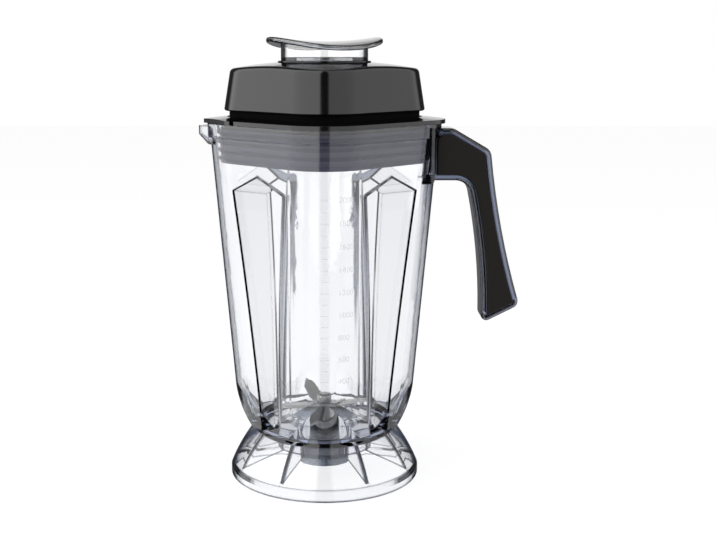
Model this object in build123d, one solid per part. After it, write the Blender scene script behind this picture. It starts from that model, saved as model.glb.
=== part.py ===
from build123d import *
import os
from math import cos, pi, radians, sqrt, tan

# Blender jar with lid, stopper and blade unit. Millimetres, +Z up.
# The origin is on the jar's axis, in the plane that the foot skirt stands on.
# The handle points to +X and the pouring lip to -X, so the jar's four corners lie on X and Y.

# Jar walls
rim_z = 270.5              # top of the rim
foot_z = 33.0              # underside of the jar's floor
floor_thickness = 5.0
wall = 3.5
rim_half = 71.2            # axis to flat side at the rim
foot_half = 57.0           # axis to flat side at the foot
corner_radius = 36.0
collar_height = 10.0       # thickened band under the rim
collar_step = 0.9

# Lower end of the jar: the four corners run out into facets, and the inside into a round dish
belly_z = 42.0             # lower edge of the square walls, above the skirt
facet_top_z = 76.0
facet_foot = 54.5          # axis to a facet at its lower edge
facet_bulge = 2.4
facet_margin = 0.4         # facets start this far outside the corners
dish_radius = 45.5         # flat of the floor, before its corner is rounded
dish_bulge = 1.6
floor_fillet = 8.0

# Channels pressed into the four flat sides, widest at the top
channel_floor = 50.5       # axis to the channel's upright floor
channel_top_z = 221.0      # upper corners of the floor
channel_rise = 3.7         # peak above the upper corners
channel_waist_z = 149.0
channel_foot_z = 47.0
channel_top_half = 8.7
channel_waist_half = 4.7
channel_foot_half = 2.4
channel_draft_angle = 45.0
channel_corner_climb = 0.14  # rise of the upper corners towards the jar's face, per mm of widening
channel_peak_climb = 0.57    # the same for the peak
channel_overrun = 6.0        # cutters reach this far past the rim's flat sides

# Pouring lip
lip_reach = 93.6
lip_nose_radius = 5.0
lip_root_half = 17.0
lip_drop = 1.9             # lip's edge below the rim
lip_nose_height = 7.2      # rim to the underside of the nose
lip_height = 15.4          # rim to the root of the underside
lip_wall = 2.4

# Foot skirt
base_radius = 73.0
skirt_wall = 3.0
skirt_top_radius = 53.4
skirt_top_z = 38.0
skirt_band = 5.0           # upright band at the table
skirt_bulge = 1.4
socket_radius = 69.2
socket_depth = 8.0
hub_ring_radius = 35.4
hub_ring_wall = 3.5
hub_ring_foot_z = 23.0
gusset_thickness = 2.4
gusset_foot_z = 9.0
gusset_spread_angle = 27.0  # either side of each jar corner

# Handle, as points (x, z) of its side view
handle_top = (95.0, 267.0)
handle_shoulder = (123.2, 250.6)
handle_back = (133.6, 187.0)
handle_heel = (147.8, 133.6)
handle_toe = (119.0, 119.0)
handle_palm = (115.8, 176.0)
handle_throat = (106.6, 228.4)
handle_top_round = 10.0
handle_shoulder_round = 8.0
handle_heel_round = 6.0
handle_toe_round = 4.0
handle_throat_round = 12.0
handle_half = 13.0
handle_edge = 3.0
handle_plate_half = 26.0   # thickened root on either side of the jar's corner
handle_plate_x = 80.6
handle_plate_margin = 1.0
grip_root_x = 82.8         # start of the black inlays
grip_border = 4.2          # clear rim left round the inlays
grip_corner = 6.0
grip_depth = 9.0
grip_proud = 0.9
grip_clearance = 0.08
grip_edge = 1.2

# Lid
lid_wall = 2.5
flange_thickness = 3.0
flange_overhang = 1.2
flange_corner = 33.5
flange_slope = 2.0
neck_height = 6.1
neck_inset = 2.8
box_low_half = 61.5
box_top_half = 57.1
box_corner = 30.0
box_edge = 4.0
box_low_edge = 1.4
lid_top_z = 316.2
lid_dome = 400.0
plug_depth = 28.4
plug_fit = 0.05
gasket_sleeve = 2.6
gasket_reach = 5.0
gasket_foot = 3.0
gasket_top_gap = 4.0
gasket_lip_count = 4
gasket_lip_pitch = 6.2
gasket_lip_first = 3.4
gasket_lip_rise = 2.8
gasket_lip_gap = 0.25
tab_reach = 90.2           # axis to the point of the pull corner, over the pouring lip
tab_half_angle = 60.0
tab_notch = 4.6            # slit that frees the pull corner on either side
tab_notch_along = 94.0     # from the flange's square corner

# Stopper
stopper_radius = 30.0
stopper_neck_radius = 32.2
stopper_wall = 2.4
stopper_depth = 22.0
stopper_fit = 0.35
seat_width = 4.0
seat_proud = 1.0
saddle_radius = 43.0
saddle_mean_z = 329.8
saddle_rise = 3.3
saddle_turn_angle = 20.0
saddle_thickness = 3.7
saddle_edge = 1.5
guide_depth = 24.0

# Blade unit, on the jar's axis
gasket_thickness = 1.0
floor_gasket_radius = 17.2
housing_flange_radius = 18.0
housing_flange_thickness = 3.0
housing_radius = 13.2
housing_fit = 0.25
housing_length = 17.0      # below the flange
housing_cone_low = 16.5
housing_cone_top = 9.6
housing_cone_height = 4.8
shoulder_depth = 2.0       # bearing shoulder above the flange's underside
bearing_outer_radius = 11.0
bearing_inner_radius = 4.0
bearing_width = 7.0
bearing_outer_ring = 2.0
bearing_inner_ring = 2.0
bearing_shield = 0.8
bearing_gap = 0.3
bearing_spacing = 3.0
spacer_wall = 1.6
circlip_thickness = 1.0
circlip_groove = 0.6
circlip_width = 2.2
circlip_opening_angle = 40.0
seal_radius = 8.0
seal_height = 3.9
sleeve_wall = 1.5
running_gap = 0.05
shaft_shoulder_radius = 6.5
shaft_shoulder_height = 2.5
shaft_shoulder_gap = 0.5
shaft_flat = 3.2
shaft_thread_radius = 3.0
shaft_thread_length = 5.0
seat_fit = 0.02

# Blades
blade_thickness = 1.5
blade_root = 8.0           # axis to the bend
blade_width = 13.0
blade_bevel = 3.5
upper_wing = 25.0
middle_wing = 26.0
lower_wing = 24.0
upper_lift_angle = 26.0
middle_lift_angle = 3.0
lower_lift_angle = -16.0
upper_turn_angle = 118.0
middle_turn_angle = 12.0
lower_turn_angle = 60.0
washer_thickness = 1.0
washer_radius = 6.5
cap_nut_flats = 11.0
cap_nut_height = 6.0
cap_nut_dome = 2.2

# Drive end and lock nut
spline_root = 5.2
spline_tip = 6.5
spline_teeth = 12
spline_foot_z = 9.0
spline_cap = 2.0
nut_washer_thickness = 1.5
nut_washer_radius = 18.4
lock_nut_radius = 19.6
lock_nut_sides = 12
lock_nut_foot_z = 11.0
lock_nut_hollow = 14.8
lock_nut_edge = 0.6

# Levels that follow from the sizes above
floor_z = foot_z + floor_thickness
flange_z = floor_z + gasket_thickness
flange_top_z = flange_z + housing_flange_thickness
housing_foot_z = flange_z - housing_length
shoulder_z = flange_z + shoulder_depth
upper_bearing_z = shoulder_z - bearing_width
lower_bearing_z = upper_bearing_z - bearing_spacing - bearing_width
housing_top_z = flange_top_z + housing_cone_height
shaft_shoulder_z = housing_top_z + shaft_shoulder_gap
lower_blade_z = shaft_shoulder_z + shaft_shoulder_height
middle_blade_z = lower_blade_z + blade_thickness
upper_blade_z = middle_blade_z + blade_thickness
washer_z = upper_blade_z + blade_thickness
cap_nut_z = washer_z + washer_thickness
lid_flange_top_z = rim_z + flange_thickness
box_z = lid_flange_top_z + neck_height
gasket_z = rim_z - plug_depth
nut_top_z = foot_z - nut_washer_thickness
seat_radius = stopper_radius + stopper_fit + seat_width
seat_z = lid_top_z - seat_radius ** 2 / (2 * lid_dome) + seat_proud


def side_half(z):
    """Axis to the jar's outer flat side at a height."""
    return foot_half + (rim_half - foot_half) * (z - foot_z) / (rim_z - foot_z)


def reach(half, radius):
    """Axis to the tip of a rounded square's corner."""
    return (half - radius) * sqrt(2) + radius


def square_at(z, half, radius):
    """Rounded square with its corners on X and Y."""
    return Pos(0, 0, z) * RectangleRounded(2 * half, 2 * half, radius, rotation=45)


def square_block(low_z, low_half, high_z, high_half, radius, high_radius=None):
    """Straight-sided block between two rounded squares, whose corner radius may change on the way up."""
    high = square_at(high_z, high_half, high_radius or radius)
    return loft([square_at(low_z, low_half, radius), high], ruled=True)


def turned(*points):
    """Solid turned from straight lines through (radius, z) points."""
    return revolve(make_face(Plane.XZ * Polyline(*points, close=True)), Axis.Z)


def ring(inner, outer, low_z, high_z):
    return turned((inner, low_z), (outer, low_z), (outer, high_z), (inner, high_z))


def rod(radius, low_z, high_z):
    return Pos(0, 0, low_z) * Cylinder(radius, high_z - low_z, align=(Align.CENTER, Align.CENTER, Align.MIN))


def bulged(start, end, bulge):
    """Arc between two (radius, z) points, bowed to the right of its direction of travel."""
    dx, dz = end[0] - start[0], end[1] - start[1]
    length = sqrt(dx * dx + dz * dz)
    middle = ((start[0] + end[0]) / 2 + bulge * dz / length, (start[1] + end[1]) / 2 - bulge * dx / length)
    return ThreePointArc(start, middle, end)


# Jar moulding

def lower_end(low, top, bulge, high_z):
    """Half of a side view that narrows from a jar corner down to its foot, as (x, z) points."""
    far = top[0] + rim_half
    outline = bulged(low, top, bulge)
    outline += Polyline(top, (far, top[1]), (far, high_z), (0, high_z), (0, low[1]), low)
    return make_face(Plane.XZ * outline)


def facets():
    """Envelope that cuts each lower corner straight across."""
    top = (reach(side_half(facet_top_z), corner_radius) + facet_margin, facet_top_z)
    half = lower_end((facet_foot, belly_z), top, facet_bulge, rim_z + 1)
    along_y = extrude(half + mirror(half, Plane.YZ), 2 * rim_half, both=True)
    return along_y & (Rot(0, 0, 90) * along_y)


def dish(high_z):
    """Round bowl of the inside, with a rounded floor edge."""
    top = (reach(side_half(facet_top_z), corner_radius) - wall + facet_margin, facet_top_z)
    half = lower_end((dish_radius, floor_z), top, dish_bulge, high_z)
    half = fillet(near(half, (dish_radius, 0, floor_z)), floor_fillet)
    return revolve(half, Axis.Z)


def channel_outline(grow, foot):
    """Peaked outline of a channel on its floor, grown all round."""
    top_half, foot_half_width = channel_top_half + grow, channel_foot_half + grow
    top_z, low_z = channel_top_z + channel_corner_climb * grow, foot - grow
    peak_z = channel_top_z + channel_rise + channel_peak_climb * grow
    waist = channel_waist_half + grow
    outline = Polyline((-top_half, top_z), (0, peak_z), (top_half, top_z))
    outline += ThreePointArc((top_half, top_z), (waist, channel_waist_z), (foot_half_width, low_z))
    outline += Line((foot_half_width, low_z), (-foot_half_width, low_z))
    outline += ThreePointArc((-foot_half_width, low_z), (-waist, channel_waist_z), (-top_half, top_z))
    return make_face(outline)


def channels(inset, grow, foot):
    """Four drafted cutters, one on each flat side."""
    length = rim_half - channel_floor + inset + channel_overrun
    side = Plane((channel_floor - inset, 0, 0), x_dir=(0, 1, 0), z_dir=(1, 0, 0))
    start = side * channel_outline(grow, foot)
    end = side.offset(length) * channel_outline(grow + length * tan(radians(channel_draft_angle)), foot)
    cutter = loft([start, end], ruled=True)
    return [Rot(0, 0, angle) * cutter for angle in (45, 135, 225, 315)]


def lip_plan(inset):
    """Pouring lip seen from above: a rounded nose that widens into the jar's corner."""
    nose = Pos(-lip_reach + lip_nose_radius, 0) * Circle(lip_nose_radius - inset)
    root = Pos(-lip_reach + 3.2 * lip_nose_radius, 0) * Rectangle(1, 2 * (lip_root_half - inset))
    return make_hull(nose.edges() + root.edges())


def lip_block(inset, rise, top_z):
    """Pouring lip with a sloping underside."""
    low_z = rim_z - lip_height + rise
    nose_z = rim_z - lip_nose_height + rise
    block = extrude(Pos(0, 0, low_z) * lip_plan(inset), top_z - low_z)
    root_x = -reach(rim_half, corner_radius)
    slope = Polyline((-lip_reach - 1, nose_z), (root_x, low_z), (root_x, low_z - 1), (-lip_reach - 1, low_z - 1),
                     close=True)
    return block - extrude(Plane.XZ * make_face(slope), lip_root_half + 1, both=True)


def near(shape, point):
    """Corner of a flat outline nearest to a point."""
    return shape.vertices().sort_by_distance(Vector(*point))[0]


def handle_outline():
    """Side view of the handle: open at its lower end, rooted inside the jar's corner."""
    root_x = side_half(handle_throat[1])
    outline = Polyline((root_x, handle_throat[1]), (root_x, handle_top[1]), handle_top, handle_shoulder)
    outline += ThreePointArc(handle_shoulder, handle_back, handle_heel)
    outline += Line(handle_heel, handle_toe)
    outline += ThreePointArc(handle_toe, handle_palm, handle_throat)
    outline += Line(handle_throat, (root_x, handle_throat[1]))
    side = make_face(outline)
    rounds = (
        (handle_top, handle_top_round),
        (handle_shoulder, handle_shoulder_round),
        (handle_heel, handle_heel_round),
        (handle_toe, handle_toe_round),
        (handle_throat, handle_throat_round),
    )
    for corner, radius in rounds:
        side = fillet(near(side, corner), radius)
    return side


def grip_outline(shrink):
    """Field of the black inlay, a border inside the handle's outline."""
    inner = offset(handle_outline(), -grip_border - shrink)
    box = inner.bounding_box()
    root_x = grip_root_x + shrink
    field = inner - Pos(root_x, box.center().Y) * Rectangle(
        2 * box.size.X, 2 * box.size.Y, align=(Align.MAX, Align.CENTER))
    return fillet(near(field, (root_x, handle_top[1])), grip_corner - shrink)


def grip_block(shrink, inner_y, outer_y):
    return extrude(Plane.XZ.offset(inner_y) * grip_outline(shrink), outer_y - inner_y)


def handle_frame():
    """Handle and the thickened plate at its root."""
    frame = extrude(Plane.XZ * handle_outline(), handle_half, both=True)
    frame = fillet(frame.faces().filter_by(Axis.Y).edges(), handle_edge)
    root_x = side_half(handle_throat[1])
    low_z = handle_throat[1] - handle_plate_margin
    high_z = handle_top[1] + handle_plate_margin
    plate = Pos((root_x + handle_plate_x) / 2, 0, (low_z + high_z) / 2) * Box(
        handle_plate_x - root_x, 2 * handle_plate_half, high_z - low_z)
    plate = fillet(plate.faces().sort_by(Axis.X)[-1].edges(), handle_edge)
    return frame + plate


def skirt_curve(inset, low_z, high_z):
    """Bell curve of the skirt's wall, set in from its outer face."""
    return bulged((base_radius - inset, low_z), (skirt_top_radius - inset, high_z), skirt_bulge)


def skirt():
    """Bell-shaped foot under the jar's floor, with a straight socket at its lower end."""
    inner_low = (base_radius - skirt_wall, socket_depth)
    inner_high = (skirt_top_radius - skirt_wall, foot_z)
    outline = skirt_curve(0, skirt_band, skirt_top_z)
    core = channel_floor - wall
    outline += Polyline((skirt_top_radius, skirt_top_z), (skirt_top_radius, belly_z), (core, belly_z),
                        (core, belly_z + 1), (0, belly_z + 1), (0, foot_z), inner_high)
    outline += bulged(inner_low, inner_high, skirt_bulge)
    outline += Polyline(inner_low, (socket_radius, socket_depth), (socket_radius, 0), (base_radius, 0),
                        (base_radius, skirt_band))
    return revolve(make_face(Plane.XZ * outline), Axis.Z)


def gusset():
    """Upright web from the hub ring to the skirt's wall, along +X."""
    inner = hub_ring_radius - hub_ring_wall / 2
    outer_low = (base_radius - skirt_wall / 2, gusset_foot_z)
    outer_high = (skirt_top_radius - skirt_wall / 2, foot_z + 2)
    outline = bulged(outer_low, outer_high, skirt_bulge)
    outline += Polyline(outer_high, (inner, foot_z + 2), (inner, hub_ring_foot_z), outer_low)
    return extrude(Plane.XZ * make_face(outline), gusset_thickness / 2, both=True)


def jar_body():
    """One clear moulding: jar, rim, pouring lip, handle frame, floor and foot skirt."""
    outside = square_block(belly_z, side_half(belly_z), rim_z, rim_half, corner_radius)
    outside &= facets()
    outside -= channels(0, 0, channel_foot_z)
    outside += square_block(rim_z - collar_height, rim_half + collar_step, rim_z, rim_half + collar_step,
                            corner_radius)
    outside += lip_block(0, 0, rim_z - lip_drop)
    outside += handle_frame()
    pocket = grip_block(0, handle_half - grip_depth, handle_plate_half + 1)
    outside -= [pocket, mirror(pocket, Plane.XZ)]
    outside += skirt()
    outside += ring(hub_ring_radius - hub_ring_wall, hub_ring_radius, hub_ring_foot_z, foot_z + 1)
    for corner in (0, 90, 180, 270):
        for turn in (-gusset_spread_angle, gusset_spread_angle):
            outside += Rot(0, 0, corner + turn) * gusset()

    above = rim_z + 5
    inside = square_block(foot_z, foot_half - wall, above, side_half(above) - wall, corner_radius - wall)
    inside &= dish(above + 1)
    draft = radians(channel_draft_angle)
    inside -= channels(wall, wall * (1 / cos(draft) - tan(draft)), foot_z)
    inside += lip_block(lip_wall, lip_wall, above)
    return outside - inside - rod(housing_radius + housing_fit, foot_z - 1, floor_z + 1)


def handle_grip():
    """Black inlay on the front side of the handle."""
    grip = grip_block(grip_clearance, handle_half - grip_depth, handle_half + grip_proud)
    return fillet(grip.faces().sort_by(Axis.Y)[0].edges(), grip_edge)


# Lid

def tab_plan():
    """Flange's bounds seen from above: open to all sides but the blunt pull corner."""
    far = 2 * rim_half
    side = far * tan(radians(tab_half_angle))
    return make_face(Polyline((-tab_reach, 0), (far - tab_reach, side), (far, side), (far, -side),
                              (far - tab_reach, -side), close=True))


def lid_cover():
    """Domed box on an undercut neck, flange with a pull corner over the lip, plug wall below."""
    flange_half = rim_half + collar_step + flange_overhang
    neck_half = box_low_half - neck_inset
    plug_half = side_half(gasket_z) - wall - gasket_reach
    plug_corner = corner_radius - wall - gasket_reach
    box = square_block(box_z, box_low_half, lid_top_z + 1, box_top_half, box_corner)
    box &= Pos(0, 0, lid_top_z - lid_dome) * Sphere(lid_dome)
    box = fillet(box.faces().sort_by(Axis.Z)[-1].edges(), box_edge)
    box = fillet(box.faces().sort_by(Axis.Z)[0].edges(), box_low_edge)
    flange = square_block(rim_z, flange_half, lid_flange_top_z, flange_half, flange_corner)
    top = square_block(lid_flange_top_z, flange_half, lid_flange_top_z + flange_slope, neck_half, flange_corner,
                       box_corner)
    neck = square_block(rim_z, neck_half, box_z, neck_half, box_corner)
    plug = square_block(gasket_z + gasket_foot, plug_half, rim_z, plug_half, plug_corner)
    flange = (flange + top) & extrude(Pos(0, 0, rim_z) * tab_plan(), neck_height + flange_thickness)
    notch = Pos(neck_half, 0, rim_z - 1) * Box(
        flange_half - neck_half + 1, tab_notch, neck_height + flange_thickness,
        align=(Align.MIN, Align.CENTER, Align.MIN))
    along = flange_half - tab_notch_along
    flange -= Rot(0, 0, 225) * Pos(0, along, 0) * notch
    flange -= Rot(0, 0, 135) * Pos(0, -along, 0) * notch
    seat = rod(seat_radius, seat_z - 3, seat_z)
    guide = rod(stopper_radius + stopper_fit + lid_wall, seat_z - guide_depth, seat_z - 1)

    hollow = square_block(gasket_z, plug_half - lid_wall, rim_z, plug_half - lid_wall, plug_corner - lid_wall)
    hollow += square_block(rim_z - 1, neck_half - lid_wall, lid_top_z, box_top_half - lid_wall,
                           box_corner - lid_wall)
    hollow &= Pos(0, 0, lid_top_z - lid_dome) * Sphere(lid_dome - lid_wall)
    shell = box + flange + neck + plug - hollow
    shell += seat + guide
    return shell - rod(stopper_radius + stopper_fit, gasket_z, seat_z + 1)


def lid_gasket():
    """Rubber sleeve on the lid's plug, with sealing lips towards the jar's wall."""
    plug_half = side_half(gasket_z) - wall - gasket_reach
    plug_corner = corner_radius - wall - gasket_reach
    sleeve_half = plug_half + plug_fit + gasket_sleeve
    sleeve_corner = plug_corner + gasket_sleeve
    top_z = rim_z - gasket_top_gap
    sleeve = square_block(gasket_z, sleeve_half, top_z, sleeve_half, sleeve_corner)
    for i in range(gasket_lip_count):
        edge_z = gasket_z + gasket_lip_first + i * gasket_lip_pitch
        edge_half = side_half(edge_z) - wall - gasket_lip_gap
        sleeve += square_block(edge_z - gasket_lip_rise, sleeve_half - plug_fit, edge_z, edge_half, sleeve_corner,
                               corner_radius - wall)
    sleeve -= square_block(gasket_z + gasket_foot, plug_half + plug_fit, rim_z, plug_half + plug_fit, plug_corner)
    opening = plug_half - lid_wall
    return sleeve - square_block(gasket_z - 1, opening, rim_z, opening, plug_corner - lid_wall)


def saddle(top_z, thickness):
    """Slab with two parallel saddle faces, high along one line across the axis and low along the other."""
    span = 1.2 * saddle_radius
    rise = 2 * saddle_rise * (span / saddle_radius) ** 2
    ends = []
    for side in (-1, 1):
        left, right = (-span, top_z + side * rise), (span, top_z - side * rise)
        end = Polyline(left, right, (span, right[1] - thickness), (-span, left[1] - thickness), close=True)
        ends.append(Plane((side * span, 0, 0), x_dir=(0, 1, 0), z_dir=(1, 0, 0)) * make_face(end))
    return Rot(0, 0, saddle_turn_angle + 45) * loft(ends, ruled=True)


def filler_cap():
    """Clear hollow stopper under a saddle-shaped plate."""
    plate = saddle(saddle_mean_z, saddle_thickness) & rod(saddle_radius, seat_z, lid_top_z + 2 * saddle_radius)
    plate = fillet(plate.faces().filter_by(GeomType.CYLINDER).edges(), saddle_edge)
    top_z = saddle_mean_z + 2 * saddle_rise
    stem = turned(
        (stopper_radius, seat_z - stopper_depth), (stopper_radius, seat_z), (stopper_neck_radius, seat_z),
        (stopper_neck_radius, top_z), (stopper_neck_radius - stopper_wall, top_z),
        (stopper_neck_radius - stopper_wall, seat_z + stopper_wall), (stopper_radius - stopper_wall, seat_z),
        (stopper_radius - stopper_wall, seat_z - stopper_depth))
    return plate + (stem & saddle(saddle_mean_z - saddle_thickness / 2, stopper_depth + saddle_radius))


# Blade unit: standing pieces

def floor_gasket():
    return ring(housing_radius + housing_fit, floor_gasket_radius, floor_z, flange_z)


def bearing_housing():
    """Flanged steel housing with a conical top, bored for two bearings and a seal."""
    outside = turned(
        (0, housing_foot_z), (housing_radius, housing_foot_z), (housing_radius, flange_z),
        (housing_flange_radius, flange_z), (housing_flange_radius, flange_top_z), (housing_cone_low, flange_top_z),
        (housing_cone_top, housing_top_z), (0, housing_top_z))
    outside -= rod(bearing_outer_radius, housing_foot_z - 1, shoulder_z)
    outside -= rod(seal_radius, shoulder_z - 1, shoulder_z + seal_height)
    outside -= rod(bearing_inner_radius + sleeve_wall + bearing_gap, shoulder_z, housing_top_z + 1)
    groove = bearing_outer_radius + circlip_groove
    return outside - rod(groove, lower_bearing_z - circlip_thickness, lower_bearing_z)


def shaft_seal():
    """Rubber ring pressed into the housing, with a lip that rides on the sleeve."""
    sleeve = bearing_inner_radius + sleeve_wall + running_gap
    low_z = shoulder_z + bearing_gap
    top_z = shoulder_z + seal_height
    return turned((seal_radius, low_z), (seal_radius, top_z), (sleeve, top_z), (sleeve, top_z - seal_height / 4),
                  (sleeve + sleeve_wall / 2, low_z))


def bearing_outer(low_z):
    """Standing ring of a sealed bearing with a shield at each end."""
    high_z = low_z + bearing_width
    race = bearing_outer_radius - bearing_outer_ring
    shield = bearing_inner_radius + bearing_inner_ring + bearing_gap
    return turned(
        (shield, low_z), (bearing_outer_radius, low_z), (bearing_outer_radius, high_z), (shield, high_z),
        (shield, high_z - bearing_shield), (race, high_z - bearing_shield), (race, low_z + bearing_shield),
        (shield, low_z + bearing_shield))


def bearing_inner(low_z):
    """Turning ring of a sealed bearing."""
    return ring(bearing_inner_radius, bearing_inner_radius + bearing_inner_ring, low_z, low_z + bearing_width)


def outer_spacer():
    return ring(bearing_outer_radius - spacer_wall, bearing_outer_radius, lower_bearing_z + bearing_width,
                upper_bearing_z)


def circlip():
    """Spring ring in the housing's groove, open at one side."""
    outer = bearing_outer_radius + circlip_groove
    band = ring(outer - circlip_width, outer, lower_bearing_z - circlip_thickness, lower_bearing_z)
    half_width = outer * tan(radians(circlip_opening_angle / 2))
    opening = make_face(Polyline((0, 0), (2 * outer, 2 * half_width), (2 * outer, -2 * half_width), close=True))
    return band - extrude(Pos(0, 0, housing_foot_z) * opening, bearing_width)


def nut_washer():
    return ring(housing_radius + housing_fit, nut_washer_radius, nut_top_z, foot_z)


def lock_nut():
    """Twelve-sided nut that clamps the housing, hollow round the drive end."""
    sides = RegularPolygon(lock_nut_radius, lock_nut_sides)
    nut = extrude(Pos(0, 0, lock_nut_foot_z) * sides, nut_top_z - lock_nut_foot_z)
    nut = chamfer(nut.faces().filter_by(Axis.Z).edges(), lock_nut_edge)
    nut -= rod(housing_radius, housing_foot_z, nut_top_z + 1)
    return nut - rod(lock_nut_hollow, lock_nut_foot_z - 1, housing_foot_z)


# Blade unit: turning pieces

def blade_seat(fit):
    """Shaft section that carries the blades: a round with two flats."""
    return Circle(bearing_inner_radius + fit) & Rectangle(4 * bearing_inner_radius, 2 * (shaft_flat + fit))


def drive_shaft():
    """Spindle with a shoulder under the blades and a threaded top."""
    shaft = rod(bearing_inner_radius, spline_foot_z + spline_cap, lower_blade_z)
    shaft += rod(shaft_shoulder_radius, shaft_shoulder_z, lower_blade_z)
    shaft += extrude(Pos(0, 0, lower_blade_z) * blade_seat(0), washer_z - lower_blade_z)
    return shaft + rod(shaft_thread_radius, washer_z, cap_nut_z + shaft_thread_length - washer_thickness)


def drive_spline():
    """Toothed drive end pressed on the shaft's foot."""
    half_tooth = pi * (spline_root + spline_tip) / (4 * spline_teeth)
    tooth = Pos((spline_root + spline_tip) / 2, 0) * Rectangle(spline_tip - spline_root + 1, 2 * half_tooth)
    section = Circle(spline_root)
    for i in range(spline_teeth):
        section += Rot(0, 0, i * 360 / spline_teeth) * tooth
    section &= Circle(spline_tip)
    body = extrude(Pos(0, 0, spline_foot_z) * section, lower_bearing_z - spline_foot_z)
    return body - rod(bearing_inner_radius, spline_foot_z + spline_cap, lower_bearing_z + 1)


def inner_spacer():
    return ring(bearing_inner_radius, bearing_inner_radius + spacer_wall, lower_bearing_z + bearing_width,
                upper_bearing_z)


def seal_sleeve():
    return ring(bearing_inner_radius, bearing_inner_radius + sleeve_wall, shoulder_z, shaft_shoulder_z)


def wing(length, lift):
    """One sharpened wing along +X from the bend, tilted up by its lift."""
    half = blade_width / 2
    section = Polyline((-half, 0), (half, 0), (half, blade_thickness / 5), (half - blade_bevel, blade_thickness),
                       (-half, blade_thickness), close=True)
    plank = extrude(Plane.YZ * make_face(section), length)
    plan = Polyline((0, half), (length - half, half), (length, half / 3), (length - half / 3, -half / 3),
                    (length / 2, -half / 1.6), (0, -half), close=True)
    plank &= extrude(make_face(plan), blade_thickness)
    middle = blade_thickness / 2
    bend = Rot(90, 0, 0) * Cylinder(middle, blade_width)
    return Pos(blade_root, 0, middle) * (bend + Rot(0, -lift, 0) * Pos(0, 0, -middle) * plank)


def blade(low_z, length, lift, turn):
    """Stamped blade: flat hub and two equal wings."""
    hub = extrude(Circle(blade_root) + Rectangle(2 * blade_root, blade_width), blade_thickness)
    for half_turn in (0, 180):
        hub += Rot(0, 0, half_turn) * wing(length, lift)
    slab = extrude(Rot(0, 0, -turn) * blade_seat(seat_fit), blade_thickness)
    return Pos(0, 0, low_z) * Rot(0, 0, turn) * (hub - slab)


def blade_lock_washer():
    return ring(shaft_thread_radius + seat_fit, washer_radius, washer_z, cap_nut_z)


def blade_cap_nut():
    """Closed hexagon nut with a domed end."""
    nut = extrude(Pos(0, 0, cap_nut_z) * RegularPolygon(cap_nut_flats / 2, 6, major_radius=False), cap_nut_height)
    top_z = cap_nut_z + cap_nut_height
    flat = cap_nut_flats / 4
    edge = cap_nut_flats * 0.6
    outline = Polyline((0, cap_nut_z), (edge, cap_nut_z), (edge, top_z - cap_nut_dome))
    outline += ThreePointArc((edge, top_z - cap_nut_dome), (0.72 * edge, top_z - 0.3 * cap_nut_dome), (flat, top_z))
    outline += Polyline((flat, top_z), (0, top_z), (0, cap_nut_z))
    nut &= revolve(make_face(Plane.XZ * outline), Axis.Z)
    return nut - rod(shaft_thread_radius + seat_fit, cap_nut_z, cap_nut_z + shaft_thread_length)


front_grip = handle_grip()
nodes = {
    "jar_body": jar_body(),
    "handle_grip_front": front_grip,
    "handle_grip_rear": mirror(front_grip, Plane.XZ),
    "lid_cover": lid_cover(),
    "lid_gasket": lid_gasket(),
    "filler_cap": filler_cap(),
    "floor_gasket": floor_gasket(),
    "bearing_housing": bearing_housing(),
    "shaft_seal": shaft_seal(),
    "upper_bearing_outer": bearing_outer(upper_bearing_z),
    "upper_bearing_inner": bearing_inner(upper_bearing_z),
    "lower_bearing_outer": bearing_outer(lower_bearing_z),
    "lower_bearing_inner": bearing_inner(lower_bearing_z),
    "outer_spacer": outer_spacer(),
    "inner_spacer": inner_spacer(),
    "circlip": circlip(),
    "nut_washer": nut_washer(),
    "lock_nut": lock_nut(),
    "drive_shaft": drive_shaft(),
    "drive_spline": drive_spline(),
    "seal_sleeve": seal_sleeve(),
    "lower_blade": blade(lower_blade_z, lower_wing, lower_lift_angle, lower_turn_angle),
    "middle_blade": blade(middle_blade_z, middle_wing, middle_lift_angle, middle_turn_angle),
    "upper_blade": blade(upper_blade_z, upper_wing, upper_lift_angle, upper_turn_angle),
    "blade_lock_washer": blade_lock_washer(),
    "blade_cap_nut": blade_cap_nut(),
}

os.makedirs("parts", exist_ok=True)
for name, shape in nodes.items():
    export_step(shape, f"parts/{name}.step")
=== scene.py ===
from math import cos, pi, radians, sin

import bmesh
import bpy
from bpy.props import FloatProperty, FloatVectorProperty, IntProperty, PointerProperty
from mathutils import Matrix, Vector


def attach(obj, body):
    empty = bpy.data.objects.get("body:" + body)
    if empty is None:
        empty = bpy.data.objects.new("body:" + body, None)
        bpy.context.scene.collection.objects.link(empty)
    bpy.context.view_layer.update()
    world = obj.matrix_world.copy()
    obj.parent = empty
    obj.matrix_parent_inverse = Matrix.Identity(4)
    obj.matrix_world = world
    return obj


bl_info = {
    "name": "Blender Jar Looks",
    "version": (1, 0, 0),
    "blender": (4, 5, 0),
    "location": "View3D > Sidebar > Jar",
    "description": "Finishes, volume scale and studio for a clear blender jar with lid and blade unit",
    "category": "Object",
}

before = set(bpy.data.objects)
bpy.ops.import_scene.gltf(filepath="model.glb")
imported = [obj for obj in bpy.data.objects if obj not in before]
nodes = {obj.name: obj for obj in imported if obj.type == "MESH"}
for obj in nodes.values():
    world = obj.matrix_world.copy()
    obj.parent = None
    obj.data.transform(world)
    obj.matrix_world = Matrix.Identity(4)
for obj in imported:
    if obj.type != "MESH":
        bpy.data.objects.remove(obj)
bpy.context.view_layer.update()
MM = 0.001
IMAGE_WIDTH = 716
WHITE = (1.0, 1.0, 1.0, 1.0)
# Volumes in millilitres whose levels are set, at the ends of the printed scale and between them.
LOW_VOLUME = 200
MIDDLE_VOLUME = 1000
HIGH_VOLUME = 2000
# Distance from the jar's axis at which rays start that look for the wall, in metres.
OUTSIDE = 0.3
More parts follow.
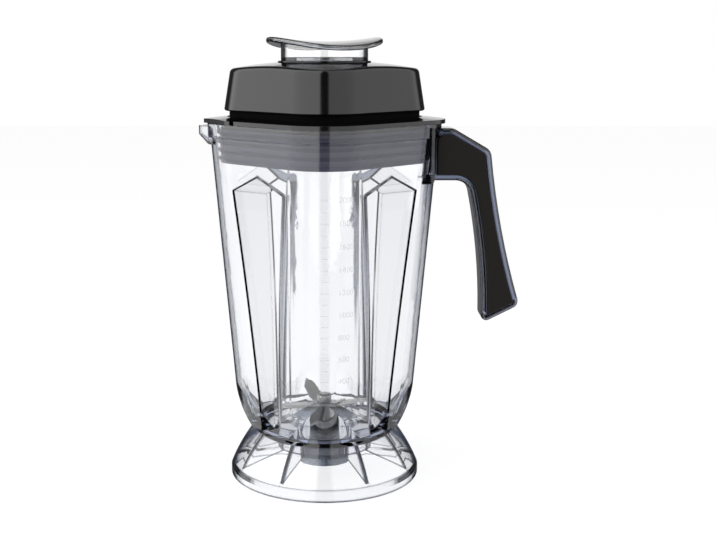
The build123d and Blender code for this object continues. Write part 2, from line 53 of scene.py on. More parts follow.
# Size that the built-in font needs for digits of height 1.
FONT_SIZE = 1.4
LIGHT_BOUNCES = 48
SENSOR_WIDTH = 36.0


def colour(hex_value):
    """Linear RGBA from an sRGB hex value."""
    channels = [int(hex_value[i:i + 2], 16) / 255 for i in (0, 2, 4)]
    linear = [c / 12.92 if c <= 0.04045 else ((c + 0.055) / 1.055) ** 2.4 for c in channels]
    return (*linear, 1.0)


def add(tree, kind, inputs=None, **settings):
    """Adds a shader node, sets its properties, and fills or links its sockets."""
    made = tree.nodes.new("ShaderNode" + kind)
    for name, value in settings.items():
        setattr(made, name, value)
    for socket, value in (inputs or {}).items():
        if isinstance(value, bpy.types.NodeSocket):
            tree.links.new(value, made.inputs[socket])
        else:
            made.inputs[socket].default_value = value
    return made


def new_material(name):
    """Empty node material and its tree."""
    material = bpy.data.materials.new(name)
    material.use_nodes = True
    material.node_tree.nodes.clear()
    return material, material.node_tree


def finish_node(name, material):
    """Gives a CAD piece its material."""
    nodes[name].material_slots[0].material = material


def tint(name, description, hex_value):
    """Colour setting with an sRGB hex default."""
    return FloatVectorProperty(name=name, description=description, size=4, subtype="COLOR",
                               min=0.0, max=1.0, default=colour(hex_value))


def length(name, description, millimetres):
    """Length setting with a default in millimetres."""
    return FloatProperty(name=name, description=description, unit="LENGTH", default=millimetres * MM)


def angle(name, description, degrees):
    """Angle setting with a default in degrees."""
    return FloatProperty(name=name, description=description, unit="ROTATION", default=radians(degrees))


def amount(name, description, value):
    """Setting that is a plain number."""
    return FloatProperty(name=name, description=description, default=value)


# Settings

class JarFinishes(bpy.types.PropertyGroup):
    """Colours and surface sizes of the jar's materials"""
    jar_tint: tint("Jar tint", "Colour that light takes on inside the clear jar", "9fb6e2")
    jar_density: amount("Jar density", "How strongly the clear jar absorbs, per metre", 14.0)
    # Painted shade: the clear walls are darkened towards these colours where they are seen edge-on, and in
    # a dark line beside such walls.
    jar_edge: tint("Jar edges", "Colour of the jar's walls where they are seen edge-on", "202d4e")
    jar_edge_start: amount("Jar edge start", "How far a wall turns before it darkens", 0.66)
    jar_edge_reach: length("Jar edge reach", "Width of the dark line beside a wall seen edge-on", 3.0)
    edge_round: length("Edge round", "Radius of the small rounds on moulded edges", 0.5)
    # Painted shade: the clear handle frame is darkened between these distances, for the black inlays seen
    # through it.
    frame_start: length("Frame start", "Jar's axis to where the handle frame starts to darken", 76.0)
    frame_full: length("Frame full", "Jar's axis to where the handle frame is fully dark", 80.0)
    frame_colour: tint("Handle frame", "Cast of the clear frame round the black inlays", "828797")
    stopper_density: amount("Stopper density", "How strongly the stopper absorbs, per metre", 3.0)
    # Painted shade of the same kind on the stopper.
    stopper_edge: tint("Stopper edges", "Colour of the stopper where it is seen edge-on", "1a1b1e")
    stopper_edge_start: amount("Stopper edge start", "How far the stopper turns before it darkens", 0.66)
    stopper_edge_reach: length("Stopper edge reach", "Width of the dark line beside its edges", 0.8)
    stopper_round: length("Stopper round", "Radius of the small rounds on the stopper's edges", 0.8)
    # Painted shade: how far a wall turns before its painted shade is full, and where the painted dark line
    # beside an edge starts and ends.
    edge_full: amount("Edge full", "How far clear plastic turns before it is fully dark", 0.8)
    line_start: amount("Line start", "Turn beside an edge from which the dark line starts", 0.04)
    line_full: amount("Line full", "Turn beside an edge at which the dark line is full", 0.18)
    line_darkness: amount("Line darkness", "Share of the edge's colour in the dark line", 0.95)
    lid_colour: tint("Lid", "Glossy black of the lid", "0f0f10")
    lid_round: length("Lid round", "Radius of the small rounds on the lid's edges", 0.5)
    # Painted shade: between these heights the lid's recess reflects hardly at all.
    neck_low: length("Neck low", "Lower end of the dark recess under the lid's box", 275.3)
    neck_high: length("Neck high", "Upper end of the dark recess under the lid's box", 279.9)
    grip_colour: tint("Grip", "Brownish black of the soft handle inlays", "15130f")
    gasket_colour: tint("Lid gasket", "Violet black of the sleeve round the lid's plug", "34344e")
    gasket_gloss: amount("Gasket gloss", "Least roughness of the lid gasket", 0.06)
    rubber_colour: tint("Rubber", "Black of the blade unit's seals", "141416")
    rubber_gloss: amount("Rubber gloss", "Least roughness of the blade unit's seals", 0.4)
    # Painted shade: the lock nut's steel is darkened and blued for its place under the jar's base.
    nut_colour: tint("Nut", "Dull blue grey of the plated lock nut", "5c636e")
    steel_colour: tint("Steel", "Stainless steel of the blade unit", "c9c8c5")
    blade_colour: tint("Blades", "Bright stainless steel of the blades", "ecebe8")
    mark_colour: tint("Marks", "Pale grey print of the volume scale", "f2f3f6")
    mark_cover: amount("Mark cover", "Share of the wall that the thin ink hides", 0.45)


class ScaleSizes(bpy.types.PropertyGroup):
    """Places and sizes of the printed volume scale"""
    low_level: length("Lowest level", "Height of the 200 ml mark", 74.0)
    middle_level: length("Middle level", "Height of the 1000 ml mark", 140.0)
    high_level: length("Highest level", "Height of the 2000 ml mark", 222.6)
    tick: length("Tick", "Length of a 100 ml tick", 4.5)
    long_tick: length("Long tick", "Length of a 200 ml tick", 6.5)
    line: length("Line", "Width of a printed line", 0.45)
    number_height: length("Number height", "Height of a printed number", 4.2)
    number_gap: length("Number gap", "Corner of the jar to the start of a number", 9.3)
    number_turn: angle("Number turn", "Side that the numbers face, from the front", 25.0)
    film: length("Film", "Thickness of the print", 0.04)
    step: IntProperty(name="Step", description="Millilitres between two ticks", default=100)


class StudioSettings(bpy.types.PropertyGroup):
    """Camera, lamps, mirrored studio and floor"""
    camera_back: length("Camera back", "Jar's axis to the camera", 839.2)
    camera_height: length("Camera height", "Floor to the camera", 324.2)
    camera_pitch: angle("Camera pitch", "How far the camera looks down", 11.17)
    focal_pixels: amount("Focal length", "Focal length in image pixels", 1119.3)
    axis_pixel: amount("Axis pixel", "Image column of the jar's axis", 324.5)
    left_level: amount("Left lamp", "Radiance of the left softbox", 2.1)
    right_level: amount("Right lamp", "Radiance of the right softbox", 1.2)
    lamp_width: length("Lamp width", "Width of a softbox", 1700.0)
    lamp_height: length("Lamp height", "Height of a softbox", 1400.0)
    lamp_distance: length("Lamp distance", "Jar's axis to a softbox", 1500.0)
    lamp_turn: angle("Lamp turn", "Angle between the camera and a softbox", 70.0)
    lamp_raise: length("Lamp raise", "Floor to the middle of a softbox", 450.0)
    lamp_aim: length("Lamp aim", "Height on the jar's axis that a softbox faces", 200.0)
    ambient: amount("Ambient", "Light from all round", 0.5)
    gap_core: angle("Gap core", "Half the angle of the dark gap round the camera", 8.0)
    gap_end: angle("Gap end", "Angle from the camera where a softbox is at its full level", 14.0)
    gap_level: amount("Gap level", "Share of a softbox's level in the dark gap", 0.02)
    side_blend: amount("Side blend", "Reach of the change from one softbox to the other", 0.2)
    flag_inner: angle("Flag inner", "Angle from straight behind where a flag starts", 18.0)
    flag_outer: angle("Flag outer", "Angle from straight behind where a flag ends", 66.0)
    flag_blend: amount("Flag blend", "Width of a flag's soft outer edge", 0.2)
    flag_level: amount("Flag level", "Brightness of the black flags", 0.06)
    ceiling_start: amount("Ceiling start", "Slope of a look up at which the backdrop starts to dim", 0.19)
    ceiling_full: amount("Ceiling full", "Slope of a look up at which the backdrop is dimmed", 0.29)
    ceiling_level: amount("Ceiling level", "Brightness of the upper backdrop", 0.5)
    ground_full: amount("Ground full", "Slope of a look down at which the backdrop is dimmed", -0.06)
    ground_level: amount("Ground level", "Brightness of the lower backdrop", 0.2)
    inner_level: amount("Inner mirrors", "Share of the studio left after a second mirror bounce", 0.2)
    inner_colour: tint("Inner mirror colour", "Cool cast after a second mirror bounce", "909fbe")
    floor_colour: tint("Floor", "Pale matt floor", "a0a0a0")
    floor_glow: amount("Floor glow", "Light that the floor sheet shows by itself", 0.80)
    floor_mirror: amount("Floor in mirrors", "Share of the glow that mirror images show", 0.45)
    floor_half: length("Floor half", "Half the width of the floor", 4000.0)


# Materials

def clear_polycarbonate(name, finishes, density, edge_shade_colour, edge_shade_start, edge_round, edge_shade_reach,
                        has_handle):
    """Injection-moulded polycarbonate: water clear face-on, with painted shade along walls that are seen
    edge-on and beside them, soft moulded edges and a faint waviness from the flow of the melt."""
    material, tree = new_material(name)
    place = add(tree, "TexCoord").outputs["Object"]
    # Flow waves are taken to be about 40 mm long.
    waves = add(tree, "TexNoise", {"Vector": place, "Scale": 1 / (40 * MM), "Detail": 1.0})
    edges = add(tree, "Bevel", {"Radius": edge_round}, samples=4)
    normal = add(tree, "Bump", {"Height": waves.outputs["Fac"], "Normal": edges.outputs["Normal"],
                                "Strength": 0.08, "Distance": 0.1 * MM})
    # Washing leaves faint cloudy patches about 25 mm across.
    wear = add(tree, "TexNoise", {"Vector": place, "Scale": 1 / (25 * MM), "Detail": 2.0})
    cloud = add(tree, "MapRange", {"Value": wear.outputs["Fac"], "From Min": 0.45, "From Max": 0.8,
                                   "To Min": 0.0, "To Max": 0.03})
    # Painted shade: a grazing look into the wall runs a long way through it, so the colour is darkened
    # there.
    grazing = add(tree, "LayerWeight", {"Blend": 0.5, "Normal": edges.outputs["Normal"]}).outputs["Facing"]
    grazing_shade = add(tree, "MapRange", {"Value": grazing, "From Min": edge_shade_start,
                                   "From Max": finishes.edge_full},
                interpolation_type="SMOOTHSTEP")
    # Painted shade: beside a wall that is seen edge-on the light runs into that wall and is lost, so a dark
    # line is painted there.
    wide = add(tree, "Bevel", {"Radius": edge_shade_reach}, samples=6)
    turned = add(tree, "LayerWeight", {"Blend": 0.5, "Normal": wide.outputs["Normal"]}).outputs["Facing"]
    plain = add(tree, "LayerWeight", {"Blend": 0.5}).outputs["Facing"]
    more = add(tree, "Math", {0: turned, 1: plain}, operation="SUBTRACT")
    beside = add(tree, "MapRange", {"Value": more.outputs["Value"], "From Min": finishes.line_start,
                                    "From Max": finishes.line_full, "To Max": finishes.line_darkness},
                 interpolation_type="SMOOTHSTEP")
    dark = add(tree, "Math", {0: grazing_shade.outputs["Result"], 1: beside.outputs["Result"]}, operation="MAXIMUM")
    # The painted shade darkens the white base colour towards the edge's shade colour.
    tone = add(tree, "Mix", {0: dark.outputs["Value"], 6: WHITE, 7: edge_shade_colour}, data_type="RGBA")
    if has_handle:
        # Painted shade: the clear frame round the black inlays is darkened, from one distance along x to
        # another, for the black inlays seen through it.
        along = add(tree, "SeparateXYZ", {"Vector": place}).outputs["X"]
        frame_shade = add(tree, "MapRange", {"Value": along, "From Min": finishes.frame_start,
                                        "From Max": finishes.frame_full})
        tone = add(tree, "Mix", {0: frame_shade.outputs["Result"], 6: tone.outputs[2], 7: finishes.frame_colour},
                   data_type="RGBA", blend_type="MULTIPLY")
    plastic = add(tree, "BsdfPrincipled", {
        "Base Color": tone.outputs[2], "Roughness": cloud.outputs["Result"], "IOR": 1.585,
        "Transmission Weight": 1.0, "Normal": normal.outputs["Normal"]})
    # Lamps shine through with a slight cool loss.
    through = add(tree, "BsdfTransparent", {"Color": (0.9, 0.92, 0.95, 1.0)})
    lamps = add(tree, "LightPath").outputs["Is Shadow Ray"]
    surface = add(tree, "MixShader", {0: lamps, 1: plastic.outputs["BSDF"], 2: through.outputs["BSDF"]})
    inside = add(tree, "VolumeAbsorption", {"Color": finishes.jar_tint, "Density": density})
    add(tree, "OutputMaterial", {"Surface": surface.outputs["Shader"], "Volume": inside.outputs["Volume"]})
    return material


def glossy_abs(base, edge_round, neck_low, neck_high):
    """Moulded ABS with a polished face: deep black with clear reflections and a slight orange peel.
    The recess between two heights has painted shade: it is rough and reflects hardly at all, so that it
    stays as dark as in the photo."""
    material, tree = new_material("glossy_abs")
    place = add(tree, "TexCoord").outputs["Object"]
    # Orange peel is about 1.2 mm across, drawn at 3 mm so that it shows.
    peel = add(tree, "TexNoise", {"Vector": place, "Scale": 1 / (3 * MM), "Detail": 1.0})
    edges = add(tree, "Bevel", {"Radius": edge_round}, samples=4)
    normal = add(tree, "Bump", {"Height": peel.outputs["Fac"], "Normal": edges.outputs["Normal"],
                                "Strength": 0.03, "Distance": 0.05 * MM})
    # Handling leaves dull patches about 30 mm across.
    wear = add(tree, "TexNoise", {"Vector": place, "Scale": 1 / (30 * MM), "Detail": 5.0,
                                  "Roughness": 0.65})
    dull = add(tree, "MapRange", {"Value": wear.outputs["Fac"], "From Min": 0.35, "From Max": 0.75,
                                  "To Min": 0.09, "To Max": 0.16})
    height = add(tree, "SeparateXYZ", {"Vector": place}).outputs["Z"]
    above = add(tree, "Math", {0: height, 1: neck_low}, operation="GREATER_THAN")
    below = add(tree, "Math", {0: height, 1: neck_high}, operation="LESS_THAN")
    recess = add(tree, "Math", {0: above.outputs["Value"], 1: below.outputs["Value"]}, operation="MULTIPLY")
    # Painted shade: the face reflects as plain plastic does, and the recess under the lid's box hardly at
    # all.
    polish = add(tree, "MapRange", {"Value": recess.outputs["Value"], "To Min": 0.5, "To Max": 0.03})
    rough = add(tree, "Math", {0: dull.outputs["Result"], 1: recess.outputs["Value"]}, operation="MAXIMUM")
    plastic = add(tree, "BsdfPrincipled", {
        "Base Color": base, "Roughness": rough.outputs["Value"], "IOR": 1.54,
        "Specular IOR Level": polish.outputs["Result"], "Normal": normal.outputs["Normal"]})
    add(tree, "OutputMaterial", {"Surface": plastic.outputs["BSDF"]})
    return material


def soft_elastomer(base):
    """Moulded thermoplastic elastomer: matt brownish black with a fine spark-eroded grain."""
    material, tree = new_material("soft_elastomer")
    place = add(tree, "TexCoord").outputs["Object"]
    # The mould's grain is about 0.3 mm, drawn at 0.6 mm so that it shows.
    grain = add(tree, "TexNoise", {"Vector": place, "Scale": 1 / (0.6 * MM), "Detail": 2.0})
    normal = add(tree, "Bump", {"Height": grain.outputs["Fac"], "Strength": 0.35, "Distance": 0.08 * MM})
    # Palms polish the grip in patches about 20 mm across.
    wear = add(tree, "TexNoise", {"Vector": place, "Scale": 1 / (20 * MM), "Detail": 3.0})
    shine = add(tree, "MapRange", {"Value": wear.outputs["Fac"], "From Min": 0.3, "From Max": 0.7,
                                   "To Min": 0.62, "To Max": 0.48})
    rubber = add(tree, "BsdfPrincipled", {
        "Base Color": base, "Roughness": shine.outputs["Result"], "IOR": 1.5, "Specular IOR Level": 0.2,
        "Normal": normal.outputs["Normal"]})
    add(tree, "OutputMaterial", {"Surface": rubber.outputs["BSDF"]})
    return material


def moulded_rubber(name, base, gloss):
    """Compression-moulded rubber: black with the sheen of a polished mould and a dusty bloom."""
    material, tree = new_material(name)
    place = add(tree, "TexCoord").outputs["Object"]
    # Bloom gathers in patches about 8 mm across.
    bloom = add(tree, "TexNoise", {"Vector": place, "Scale": 1 / (8 * MM), "Detail": 4.0})
    sheen = add(tree, "MapRange", {"Value": bloom.outputs["Fac"], "From Min": 0.3, "From Max": 0.7,
                                   "To Min": gloss, "To Max": gloss + 0.1})
    normal = add(tree, "Bump", {"Height": bloom.outputs["Fac"], "Strength": 0.05, "Distance": 0.05 * MM})
    rubber = add(tree, "BsdfPrincipled", {
        "Base Color": base, "Roughness": sheen.outputs["Result"], "IOR": 1.52,
        "Normal": normal.outputs["Normal"]})
    add(tree, "OutputMaterial", {"Surface": rubber.outputs["BSDF"]})
    return material


def turned_metal(name, base):
    """Metal turned on a lathe: bright, with fine rings round the jar's axis."""
    material, tree = new_material(name)
    place = add(tree, "TexCoord").outputs["Object"]
    # Rings are about 0.2 mm apart, drawn at 0.5 mm so that they show.
    parts = add(tree, "SeparateXYZ", {"Vector": place})
    flat = add(tree, "CombineXYZ", {"X": parts.outputs["X"], "Y": parts.outputs["Y"]})
    radius = add(tree, "VectorMath", {0: flat.outputs["Vector"]}, operation="LENGTH")
    along = add(tree, "Math", {0: radius.outputs["Value"], 1: parts.outputs["Z"]}, operation="ADD")
    rings = add(tree, "TexNoise", {"W": along.outputs["Value"], "Scale": 1 / (0.5 * MM), "Detail": 2.0},
                noise_dimensions="1D")
    normal = add(tree, "Bump", {"Height": rings.outputs["Fac"], "Strength": 0.12, "Distance": 0.04 * MM})
    dull = add(tree, "MapRange", {"Value": rings.outputs["Fac"], "To Min": 0.16, "To Max": 0.3})
    steel = add(tree, "BsdfPrincipled", {
        "Base Color": base, "Metallic": 1.0, "Roughness": dull.outputs["Result"],
        "Normal": normal.outputs["Normal"]})
    add(tree, "OutputMaterial", {"Surface": steel.outputs["BSDF"]})
    return material


def ground_stainless(base):
    """Stamped stainless blade steel: satin faces with grinding lines across the wing."""
    material, tree = new_material("ground_stainless")
    place = add(tree, "TexCoord").outputs["Object"]
    # Grinding lines are about 0.15 mm apart, drawn at 0.6 mm so that they show.
    lines = add(tree, "Mapping", {"Vector": place, "Scale": (1 / (0.6 * MM), 1 / (6 * MM), 1 / (2 * MM))})
    scratch = add(tree, "TexNoise", {"Vector": lines.outputs["Vector"], "Scale": 1.0, "Detail": 3.0})
    normal = add(tree, "Bump", {"Height": scratch.outputs["Fac"], "Strength": 0.15, "Distance": 0.03 * MM})
    dull = add(tree, "MapRange", {"Value": scratch.outputs["Fac"], "To Min": 0.25, "To Max": 0.45})
    steel = add(tree, "BsdfPrincipled", {
        "Base Color": base, "Metallic": 1.0, "Roughness": dull.outputs["Result"],
        "Normal": normal.outputs["Normal"]})
    add(tree, "OutputMaterial", {"Surface": steel.outputs["BSDF"]})
    return material


def pad_print(base, cover_share):
    """Pad-printed ink: pale matt grey, thin enough to see through and a little uneven."""
    material, tree = new_material("pad_print")
    place = add(tree, "TexCoord").outputs["Object"]
    # Ink lies unevenly over about 1.5 mm.
    cover = add(tree, "TexNoise", {"Vector": place, "Scale": 1 / (1.5 * MM), "Detail": 3.0})
    dull = add(tree, "MapRange", {"Value": cover.outputs["Fac"], "To Min": 0.45, "To Max": 0.7})
    tone = add(tree, "MapRange", {"Value": cover.outputs["Fac"], "To Min": 0.85, "To Max": 1.15})
    shade = add(tree, "HueSaturation", {"Color": base, "Value": tone.outputs["Result"]})
    ink = add(tree, "BsdfPrincipled", {
        "Base Color": shade.outputs["Color"], "Roughness": dull.outputs["Result"], "IOR": 1.5})
    bare = add(tree, "BsdfTransparent")
    thin = add(tree, "MixShader", {0: cover_share, 1: bare.outputs["BSDF"], 2: ink.outputs["BSDF"]})
    add(tree, "OutputMaterial", {"Surface": thin.outputs["Shader"]})
    return material


# Pieces

class JAR_OT_clear_pieces(bpy.types.Operator):
    """Clear polycarbonate of the jar moulding and the stopper"""
    bl_idname = "jar.clear_pieces"
    bl_label = "Finish Clear Pieces"

    def execute(self, context):
        finishes = context.scene.jar_finishes
        jar = clear_polycarbonate(
            "clear_polycarbonate", finishes, finishes.jar_density, finishes.jar_edge,
            finishes.jar_edge_start, finishes.edge_round, finishes.jar_edge_reach, has_handle=True)
        stopper = clear_polycarbonate(
            "stopper_polycarbonate", finishes, finishes.stopper_density, finishes.stopper_edge,
            finishes.stopper_edge_start, finishes.stopper_round, finishes.stopper_edge_reach,
            has_handle=False)
        finish_node("jar_body", jar)
        finish_node("filler_cap", stopper)
        return {"FINISHED"}


class JAR_OT_lid(bpy.types.Operator):
    """Glossy lid and the rubber sleeve round its plug"""
    bl_idname = "jar.lid"
    bl_label = "Finish Lid"

    def execute(self, context):
        finishes = context.scene.jar_finishes
        lid = glossy_abs(finishes.lid_colour, finishes.lid_round, finishes.neck_low, finishes.neck_high)
        finish_node("lid_cover", lid)
        gasket = moulded_rubber("gasket_rubber", finishes.gasket_colour, finishes.gasket_gloss)
        finish_node("lid_gasket", gasket)
        return {"FINISHED"}


class JAR_OT_grips(bpy.types.Operator):
    """Soft black inlays on both sides of the handle"""
    bl_idname = "jar.grips"
    bl_label = "Finish Grips"

    def execute(self, context):
        grip = soft_elastomer(context.scene.jar_finishes.grip_colour)
        for name in ("handle_grip_front", "handle_grip_rear"):
            finish_node(name, grip)
        return {"FINISHED"}


class JAR_OT_blade_unit(bpy.types.Operator):
    """Steel and rubber of the blade unit"""
    bl_idname = "jar.blade_unit"
    bl_label = "Finish Blade Unit"

    def execute(self, context):
        finishes = context.scene.jar_finishes
        by_slot = {
            "steel": turned_metal("turned_stainless", finishes.steel_colour),
            "blade_steel": ground_stainless(finishes.blade_colour),
            "seal_rubber": moulded_rubber("seal_rubber_black", finishes.rubber_colour,
                                          finishes.rubber_gloss),
        }
        for piece in nodes.values():
            slot = piece.material_slots[0]
            if slot.material.name in by_slot:
                slot.material = by_slot[slot.material.name]
        # Painted shade: the lock nut and its washer get a darker, bluer steel than the rest of the blade
        # unit.
        nut = turned_metal("shaded_nut_steel", finishes.nut_colour)
        for name in ("lock_nut", "nut_washer"):
            finish_node(name, nut)
        return {"FINISHED"}


def print_on_jar(flat, turn, film):
    """Lays a flat drawing on the jar's outer wall, seen from a direction that is turned from the
    front to the right. The drawing's x runs to the right and its y upwards."""
    right = Vector((cos(turn), sin(turn), 0))
    inwards = Vector((-sin(turn), cos(turn), 0))
    for vertex in flat.verts:
        start = right * vertex.co.x + Vector((0, 0, vertex.co.y)) - inwards * OUTSIDE
        found, place, normal, _ = nodes["jar_body"].ray_cast(start, inwards)
        if not found:
            raise RuntimeError("a printed mark misses the jar's wall")
        vertex.co = place + normal * film


def corner_offset(turn, level):
    """Place of the jar's near corner along a drawing's x, at a height."""
    found, place, _, _ = nodes["jar_body"].ray_cast(Vector((0, -OUTSIDE, level)), Vector((0, 1, 0)))
    if not found:
        raise RuntimeError("no corner of the jar at this height")
    return place.y * sin(turn)


def bar(drawing, left, right, level, width):
    """Adds a horizontal line to a flat drawing, in short steps so that it can bend."""
    steps = 8
    columns = []
    for i in range(steps + 1):
        x = left + (right - left) * i / steps
        columns.append([drawing.verts.new((x, level + side * width / 2, 0)) for side in (-1, 1)])
    for a, b in zip(columns, columns[1:]):
        drawing.faces.new((a[0], b[0], b[1], a[1]))


def number(value, height):
    """Flat mesh of a printed number, starting at x = 0 and centred on y = 0."""
    curve = bpy.data.curves.new("number", "FONT")
    curve.body = str(value)
    curve.size = height * FONT_SIZE
    curve.align_y = "CENTER"
    holder = bpy.data.objects.new("number", curve)
    mesh = bpy.data.meshes.new_from_object(holder)
    bpy.data.objects.remove(holder)
    bpy.data.curves.remove(curve)
    return mesh


def surface_height(sizes, volume):
    """Height of a volume's surface, on a curve through the three levels that are set."""
    span = HIGH_VOLUME - LOW_VOLUME
    t = (volume - LOW_VOLUME) / span
    middle_t = (MIDDLE_VOLUME - LOW_VOLUME) / span
    rise = sizes.high_level - sizes.low_level
    bend = (sizes.middle_level - sizes.low_level - middle_t * rise) / (middle_t * (1 - middle_t))
    return sizes.low_level + rise * t + bend * t * (1 - t)


class JAR_OT_volume_scale(bpy.types.Operator):
    """Printed ticks on the near corner of the jar, with plain numbers of millilitres"""
    bl_idname = "jar.volume_scale"
    bl_label = "Print Volume Scale"

    def execute(self, context):
        sizes = context.scene.jar_scale
        ticks = bmesh.new()
        numbers = bmesh.new()
        for volume in range(LOW_VOLUME, HIGH_VOLUME + 1, sizes.step):
            z = surface_height(sizes, volume)
            labelled = volume % (2 * sizes.step) == 0
            half = (sizes.long_tick if labelled else sizes.tick) / 2
            bar(ticks, -half, half, z, sizes.line)
            if labelled:
                mesh = number(volume, sizes.number_height)
                start = corner_offset(sizes.number_turn, z) + sizes.number_gap
                for vertex in mesh.vertices:
                    vertex.co.x += start
                    vertex.co.y += z
                numbers.from_mesh(mesh)
                bpy.data.meshes.remove(mesh)
        print_on_jar(ticks, 0.0, sizes.film)
        print_on_jar(numbers, sizes.number_turn, sizes.film)
        finishes = context.scene.jar_finishes
        ink = pad_print(finishes.mark_colour, finishes.mark_cover)
        for name, drawing in (("volume_ticks", ticks), ("volume_numbers", numbers)):
            mesh = bpy.data.meshes.new(name)
            drawing.to_mesh(mesh)
            drawing.free()
            mesh.materials.append(ink)
            piece = bpy.data.objects.new(name, mesh)
            context.collection.objects.link(piece)
            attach(piece, "jar")
        return {"FINISHED"}


# Studio

def softbox(context, name, side, level):
    """Large soft lamp beside the jar."""
    studio = context.scene.jar_studio
    lamp = bpy.data.lights.new(name, "AREA")
    lamp.shape = "RECTANGLE"
    lamp.size = studio.lamp_width
    lamp.size_y = studio.lamp_height
    lamp.energy = level * pi * lamp.size * lamp.size_y
    box = bpy.data.objects.new(name, lamp)
    box.location = (side * studio.lamp_distance * sin(studio.lamp_turn),
                    -studio.lamp_distance * cos(studio.lamp_turn), studio.lamp_raise)
    aim = Vector((0, 0, studio.lamp_aim)) - box.location
    box.rotation_euler = aim.to_track_quat("-Z", "Y").to_euler()
    box.visible_camera = False
    box.visible_glossy = False
    box.visible_transmission = False
    context.collection.objects.link(box)


def seen_directly(tree):
    """1 for rays from the camera, mirror reflections and clear plastic, 0 for rays that carry light."""
    path = add(tree, "LightPath")
    first = add(tree, "Math", {0: path.outputs["Is Camera Ray"], 1: path.outputs["Is Glossy Ray"]},
                operation="MAXIMUM")
    both = add(tree, "Math", {0: first.outputs["Value"], 1: path.outputs["Is Transmission Ray"]},
               operation="MAXIMUM")
    return both.outputs["Value"]


def mirrored_studio(tree, studio):
    """Brightness that polished surfaces mirror: a softbox on either side with a soft edge towards the dark
    camera side, and straight behind a backdrop that is white in a band above the horizon. Black flags
    between the backdrop and the softboxes draw the dark outlines of glossy edges."""
    direction = add(tree, "SeparateXYZ", {"Vector": add(tree, "TexCoord").outputs["Generated"]})
    flat = add(tree, "CombineXYZ", {"X": direction.outputs["X"], "Y": direction.outputs["Y"]})
    level = add(tree, "VectorMath", {0: flat.outputs["Vector"]}, operation="NORMALIZE")
    turn = add(tree, "SeparateXYZ", {"Vector": level.outputs["Vector"]})
    gap = add(tree, "MapRange", {"Value": turn.outputs["Y"], "From Min": -cos(studio.gap_core),
                                 "From Max": -cos(studio.gap_end), "To Min": studio.gap_level},
              interpolation_type="SMOOTHSTEP")
    side = add(tree, "MapRange", {"Value": turn.outputs["X"],
                                  "From Min": -studio.side_blend, "From Max": studio.side_blend,
                                  "To Min": studio.left_level, "To Max": studio.right_level})
    lamps = add(tree, "Math", {0: gap.outputs["Result"], 1: side.outputs["Result"]}, operation="MULTIPLY")
    ceiling = add(tree, "MapRange", {"Value": direction.outputs["Z"], "From Min": studio.ceiling_start,
                                     "From Max": studio.ceiling_full, "To Min": 1.0,
                                     "To Max": studio.ceiling_level})
    ground = add(tree, "MapRange", {"Value": direction.outputs["Z"], "From Min": studio.ground_full,
                                    "From Max": 0.0, "To Min": studio.ground_level})
    backdrop = add(tree, "Math", {0: ceiling.outputs["Result"], 1: ground.outputs["Result"]},
                   operation="MULTIPLY")
    beside = add(tree, "MapRange", {"Value": turn.outputs["Y"], "From Min": cos(studio.flag_outer),
                                    "From Max": cos(studio.flag_outer) + studio.flag_blend})
    flagged = add(tree, "Mix", {"Factor": beside.outputs["Result"], "A": lamps.outputs["Value"],
                                "B": studio.flag_level})
    behind = add(tree, "MapRange", {"Value": turn.outputs["Y"], "From Min": cos(studio.flag_inner),
                                    "From Max": cos(studio.flag_inner / 2)})
    both = add(tree, "Mix", {"Factor": behind.outputs["Result"], "A": flagged.outputs["Result"],
                             "B": backdrop.outputs["Value"]})
    return both.outputs["Result"]


def white_surround(world, studio):
    """White to look at and through, the studio for whatever a mirror bounce shows, and an even
    ambient light."""
    world.use_nodes = True
    tree = world.node_tree
    tree.nodes.clear()
    mirrors = add(tree, "LightPath").outputs["Glossy Depth"]
    mirrored = add(tree, "Math", {0: mirrors, 1: 1.0}, operation="MINIMUM")
    # A second mirror bounce dims and tints the studio, set for the photo's dark outlines.
    inner = add(tree, "MapRange", {"Value": mirrors, "From Min": 1.0, "From Max": 2.0,
                                   "To Min": 1.0, "To Max": studio.inner_level})
    dimmed = add(tree, "Math", {0: mirrored_studio(tree, studio), 1: inner.outputs["Result"]},
                 operation="MULTIPLY")
    shown = add(tree, "Mix", {"Factor": mirrored.outputs["Value"], "A": 1.0,
                              "B": dimmed.outputs["Value"]})
    shade = add(tree, "Mix", {0: inner.outputs["Result"], 6: studio.inner_colour, 7: WHITE},
                data_type="RGBA")
    backdrop = add(tree, "Background", {"Color": shade.outputs[2], "Strength": shown.outputs["Result"]})
    light = add(tree, "Background", {"Color": WHITE, "Strength": studio.ambient})
    mixed = add(tree, "MixShader", {0: seen_directly(tree), 1: light.outputs["Background"],
                                    2: backdrop.outputs["Background"]})
    add(tree, "OutputWorld", {"Surface": mixed.outputs["Shader"]})


def matt_floor(base, glow, mirror_share):
    """White seamless paper: it takes the jar's shadow and glows only to the eye, less so in mirror
    images."""
    material, tree = new_material("seamless_paper")
    paper = add(tree, "BsdfDiffuse", {"Color": base})
    mirrors = add(tree, "LightPath").outputs["Glossy Depth"]
    level = add(tree, "MapRange", {"Value": mirrors, "To Min": glow, "To Max": glow * mirror_share})
    strength = add(tree, "Math", {0: seen_directly(tree), 1: level.outputs["Result"]},
                   operation="MULTIPLY")
    lit = add(tree, "Emission", {"Strength": strength.outputs["Value"]})
    both = add(tree, "AddShader", {0: paper.outputs["BSDF"], 1: lit.outputs["Emission"]})
    add(tree, "OutputMaterial", {"Surface": both.outputs["Shader"]})
    return material


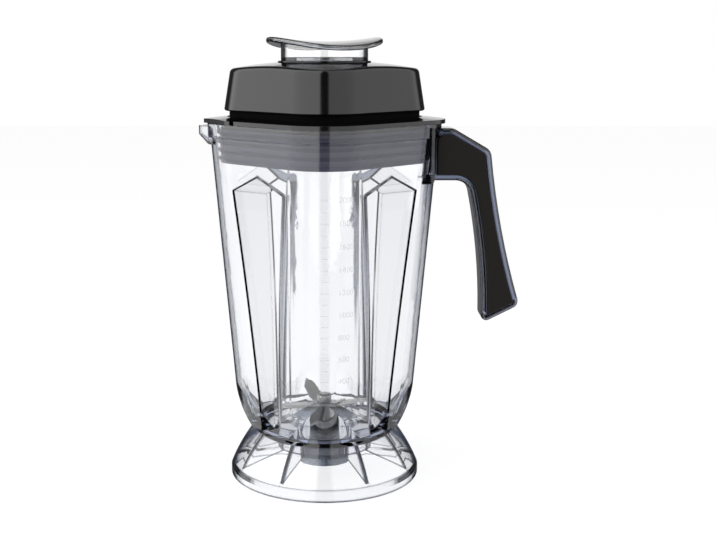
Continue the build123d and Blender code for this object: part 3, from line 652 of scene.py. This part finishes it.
class JAR_OT_stage(bpy.types.Operator):
    """White floor and surround, two softboxes and the camera"""
    bl_idname = "jar.stage"
    bl_label = "Build Stage"

    def execute(self, context):
        scene = context.scene
        studio = scene.jar_studio
        scene.view_settings.view_transform = "Standard"
        scene.cycles.max_bounces = LIGHT_BOUNCES
        scene.cycles.transmission_bounces = LIGHT_BOUNCES
        scene.cycles.transparent_max_bounces = LIGHT_BOUNCES

        sheet = bmesh.new()
        bmesh.ops.create_grid(sheet, x_segments=8, y_segments=8, size=studio.floor_half)
        mesh = bpy.data.meshes.new("floor")
        sheet.to_mesh(mesh)
        sheet.free()
        mesh.materials.append(matt_floor(studio.floor_colour, studio.floor_glow, studio.floor_mirror))
        floor = bpy.data.objects.new("floor", mesh)
        floor.visible_glossy = False
        context.collection.objects.link(floor)

        scene.world = bpy.data.worlds.new("white_surround")
        white_surround(scene.world, studio)
        softbox(context, "softbox_left", -1, studio.left_level)
        softbox(context, "softbox_right", 1, studio.right_level)

        lens = bpy.data.cameras.new("camera")
        lens.sensor_width = SENSOR_WIDTH
        lens.lens = studio.focal_pixels / IMAGE_WIDTH * lens.sensor_width
        lens.shift_x = (IMAGE_WIDTH / 2 - studio.axis_pixel) / IMAGE_WIDTH
        camera = bpy.data.objects.new("camera", lens)
        camera.location = (0, -studio.camera_back, studio.camera_height)
        camera.rotation_euler = (pi / 2 - studio.camera_pitch, 0, 0)
        context.collection.objects.link(camera)
        scene.camera = camera
        return {"FINISHED"}


class JAR_PT_looks(bpy.types.Panel):
    """Settings and steps of the jar's looks"""
    bl_idname = "JAR_PT_looks"
    bl_label = "Blender Jar"
    bl_space_type = "VIEW_3D"
    bl_region_type = "UI"
    bl_category = "Jar"

    def draw(self, context):
        scene = context.scene
        for group in (scene.jar_finishes, scene.jar_scale, scene.jar_studio):
            box = self.layout.box()
            for name in group.__annotations__:
                box.prop(group, name)
        for operator in operators:
            self.layout.operator(operator.bl_idname)


operators = (JAR_OT_clear_pieces, JAR_OT_lid, JAR_OT_grips, JAR_OT_blade_unit, JAR_OT_volume_scale,
             JAR_OT_stage)
groups = {"jar_finishes": JarFinishes, "jar_scale": ScaleSizes, "jar_studio": StudioSettings}


def register():
    for kind in (*groups.values(), *operators, JAR_PT_looks):
        bpy.utils.register_class(kind)
    for name, kind in groups.items():
        setattr(bpy.types.Scene, name, PointerProperty(type=kind))


def unregister():
    for name in groups:
        delattr(bpy.types.Scene, name)
    for kind in (JAR_PT_looks, *reversed(operators), *groups.values()):
        bpy.utils.unregister_class(kind)


def main():
    register()
    bpy.ops.jar.clear_pieces()
    bpy.ops.jar.lid()
    bpy.ops.jar.grips()
    bpy.ops.jar.blade_unit()
    bpy.ops.jar.volume_scale()
    bpy.ops.jar.stage()


if __name__ == "__main__":
    main()
